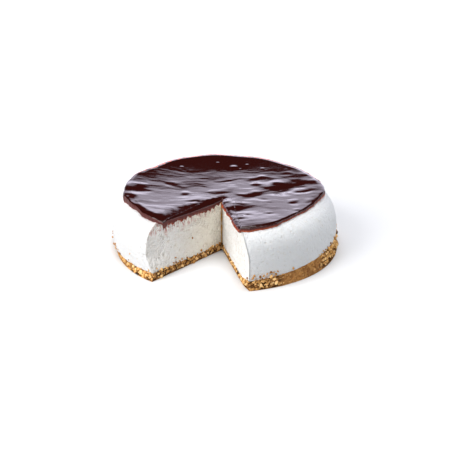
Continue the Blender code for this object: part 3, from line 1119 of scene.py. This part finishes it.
def jelly_material():
    material, nodes, shader, place = new_material("fruit_jelly")
    left, right, top, thin = (nodes.attribute(key) for key in ("left_cut", "right_cut", "top", "thin"))
    rim = 1.0 - nodes.step(top, 0.0, 0.6)
    colour = nodes.blend(rim * 0.8, DEEP_JELLY, CUT_JELLY)
    # Orange red where the jelly is thin or lit from behind: its own colour and painted light through it
    colour = nodes.blend(nodes.step(thin, 0.45, 1.0), colour, THIN_BACKLIT_JELLY)
    side = nodes.step(left + right, 0.0, 1.0) * rim
    colour = nodes.blend(side * 0.8, colour, CUT_JELLY)
    glow = nodes.step(nodes.noise(place, 2.4, 2.0), 0.45, 0.62) * nodes.step(thin, 0.1, 0.6)
    colour = nodes.blend(glow * right * side * 0.9, colour, THIN_BACKLIT_JELLY)
    lower_edge = nodes.step(thin, 0.85, 1.25) * side * left
    colour = nodes.blend(lower_edge * 0.45, colour, THIN_BACKLIT_JELLY)
    nodes.feed(shader.inputs["Base Color"], colour)
    dull = (1.0 - nodes.step(top, 0.0, 0.9)) * 0.5
    nodes.feed(shader.inputs["Roughness"], nodes.noise(place, 7.0, 2.0) * 0.05 + 0.035 + dull)
    shader.inputs["IOR"].default_value = 1.45
    ripples = nodes.stretched(place, (0.45, 1.0, 1.0))
    relief = nodes.noise(ripples, 2.6, 3.0, 0.6)
    nodes.feed(shader.inputs["Normal"], bump(nodes, relief, 0.4, 0.12))
    return material


jelly_finish = jelly_material()
print("finishes:", [material.name for material in bpy.data.materials])

# %% [markdown]
# ## Put the relief and the crumbs on
#
# Each tree is run once, and the modifier goes away, so what is left is an ordinary mesh. A relief's
# result replaces the plain skin's mesh. Crumbs are scattered twice over the base, coarse and fine,
# and once over the cheese, and each scattering is a piece of its own.


# %% Run the trees
def textured(piece, tree, values):
    """Puts a relief on a piece, in place of its plain mesh."""
    plain = piece.data
    piece.data = grown(piece, tree, values, piece.name)
    bpy.data.meshes.remove(plain)


def scattered(host, name, spacing, size, seed, cover):
    """Crumbs of one size on a piece, as a piece of their own."""
    values = {"Spacing": spacing * MM, "Size": size * MM, "Seed": seed, "Cover": cover}
    values["Material"] = loose_biscuit
    piece = bpy.data.objects.new(name, grown(host, scatter, values, name))
    bpy.context.scene.collection.objects.link(piece)
    return piece


textured(crust, crumb_relief, {"Grain": GRAIN, "Depth": 1.3, "Material": biscuit})
coarse_crumbs = scattered(crust, "coarse_crumbs", 4.4, 1.9, 11, "cover")
fine_crumbs = scattered(crust, "fine_crumbs", 2.5, 0.9, 12, "cover")
textured(cheese, cheese_relief, {"Depth": 1.0, "Material": cheese_finish})
specks = scattered(cheese, "specks", 2.8, 1.25, 13, "specks")
jelly.data.materials.append(jelly_finish)

# %% [markdown]
# ## Floor, light and camera
#
# The cake stands on a plain pale floor, which throws light back up onto its sides.

# %% Floor
floor_mesh = bpy.data.meshes.new("floor")
floor_mesh.from_pydata([(-4, -4, 0), (4, -4, 0), (4, 4, 0), (-4, 4, 0)], [], [(0, 1, 2, 3)])
floor = bpy.data.objects.new("floor", floor_mesh)
bpy.context.scene.collection.objects.link(floor)
floor_finish, _, floor_shader, _ = new_material("floor")
floor_shader.inputs["Base Color"].default_value = (0.70, 0.705, 0.715, 1.0)
floor_shader.inputs["Roughness"].default_value = 0.7
floor_mesh.materials.append(floor_finish)
print("the floor has", len(floor_mesh.polygons), "face")

# %% [markdown]
# A strong soft light from the left makes the left side and the right face of the cut almost white and
# leaves the left face in soft shade. Weaker panels fill in the front, the right, the far floor and the
# top. Behind the cake stands a wide screen of three strips, brightest below, and it is what the jelly
# mirrors. A dip that faces the viewer mirrors the dark above the screen instead, so it looks black.


# %% Lights
def around(angle, elevation, distance):
    """A place at that distance from the cake, at an angle round it and above the floor."""
    a, e = math.radians(angle), math.radians(elevation)
    return Vector((math.cos(a) * math.cos(e), math.sin(a) * math.cos(e), math.sin(e))) * distance


def panel(name, place, target, width, height, radiance, colour, spread=180.0):
    """A soft box: spread narrows the fan of directions, in degrees, that its light goes out to."""
    light = bpy.data.lights.new(name, "AREA")
    light.shape = "RECTANGLE"
    light.size, light.size_y = width, height
    light.energy = radiance * math.pi * width * height
    light.color = colour
    light.spread = math.radians(spread)
    lamp = bpy.data.objects.new(name, light)
    lamp.location = place
    lamp.rotation_mode = "QUATERNION"
    lamp.rotation_quaternion = (Vector(target) - Vector(place)).to_track_quat("-Z", "Y")
    bpy.context.scene.collection.objects.link(lamp)
    return lamp


# The strips that the jelly mirrors: elevations in degrees from the jelly's middle, and brightness
MIRROR_ANGLE, MIRROR_AWAY, MIRROR_WIDTH, JELLY_TOP = 103.5, 2.3, 4.2, 0.058
MIRROR_STRIPS = (("low", 7.0, 19.0, 3.7), ("middle", 19.0, 24.5, 2.4), ("high", 24.5, 27.5, 1.3))
for name, low, high, radiance in MIRROR_STRIPS:
    bottom, top = (JELLY_TOP + MIRROR_AWAY * math.tan(math.radians(angle)) for angle in (low, high))
    middle = around(MIRROR_ANGLE, 0.0, MIRROR_AWAY) + Vector((0.0, 0.0, (bottom + top) / 2.0))
    target = (0.0, 0.0, middle.z)
    panel(f"mirror_{name}", middle, target, MIRROR_WIDTH, top - bottom, radiance, (0.86, 0.83, 1.0))
CAKE_MIDDLE = (0.0, 0.0, 0.03)
panel("left_panel", around(226.0, 37.0, 1.3), CAKE_MIDDLE, 0.9, 0.9, 8.0, (1.0, 0.985, 0.96))
panel("front_panel", around(300.0, 48.0, 1.6), CAKE_MIDDLE, 0.9, 0.7, 2.8, (0.95, 0.975, 1.0))
panel("right_panel", around(22.0, 25.0, 1.6), CAKE_MIDDLE, 0.9, 0.7, 3.2, (0.92, 0.96, 1.0))
far_floor = around(MIRROR_ANGLE, 0.0, 1.26)
above_far_floor = around(MIRROR_ANGLE, 0.0, 1.25) + Vector((0.0, 0.0, 1.5))
panel("far_panel", above_far_floor, far_floor, 2.6, 0.9, 6.0, (1.0, 1.0, 0.97), 60.0)
panel("top_panel", around(60.0, 84.0, 1.6), CAKE_MIDDLE, 1.2, 1.2, 4.4, (0.98, 0.99, 1.0))
world = bpy.data.worlds.new("studio")
world.use_nodes = True
world.node_tree.nodes["Background"].inputs["Color"].default_value = (0.02, 0.02, 0.022, 1.0)
bpy.context.scene.world = world
print("lights:", [light.name for light in bpy.data.lights])

# %% [markdown]
# The camera looks down at the cake from the front and a little from the right, with a long lens, so
# that the cake's near and far sides keep nearly the same scale. It aims a little above the floor.

# %% Camera
VIEW_ANGLE, VIEW_HEIGHT, VIEW_DISTANCE, VIEW_LENS = 13.5, 24.0, 1.0, 77.6
AIM_HEIGHT = 0.017
camera = bpy.data.objects.new("camera", bpy.data.cameras.new("camera"))
camera.data.lens = VIEW_LENS
camera.data.sensor_width = 36.0
back = around(VIEW_ANGLE - 90.0, VIEW_HEIGHT, 1.0)
camera.location = Vector((0.0, 0.0, AIM_HEIGHT)) + back * VIEW_DISTANCE
camera.rotation_mode = "QUATERNION"
camera.rotation_quaternion = (-back).to_track_quat("-Z", "Y")
bpy.context.scene.collection.objects.link(camera)
bpy.context.scene.camera = camera
bpy.context.scene.view_settings.view_transform = "Standard"
print("the camera stands", round(camera.location.length, 2), "m from the cake's middle")

# %% [markdown]
# ## Attach the pieces
#
# Every piece rides on the cake's one body, and the plain solid that it stands for is hidden.

# %% Ride and replace
for piece, node, slot in (
    (crust, "biscuit_base", "biscuit"),
    (coarse_crumbs, "biscuit_base", "biscuit"),
    (fine_crumbs, "biscuit_base", "biscuit"),
    (cheese, "cheese_filling", "cheese"),
    (specks, "biscuit_base", "biscuit"),
    (jelly, "fruit_topping", "fruit_jelly"),
):
    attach(piece, "root")
    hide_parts(node)
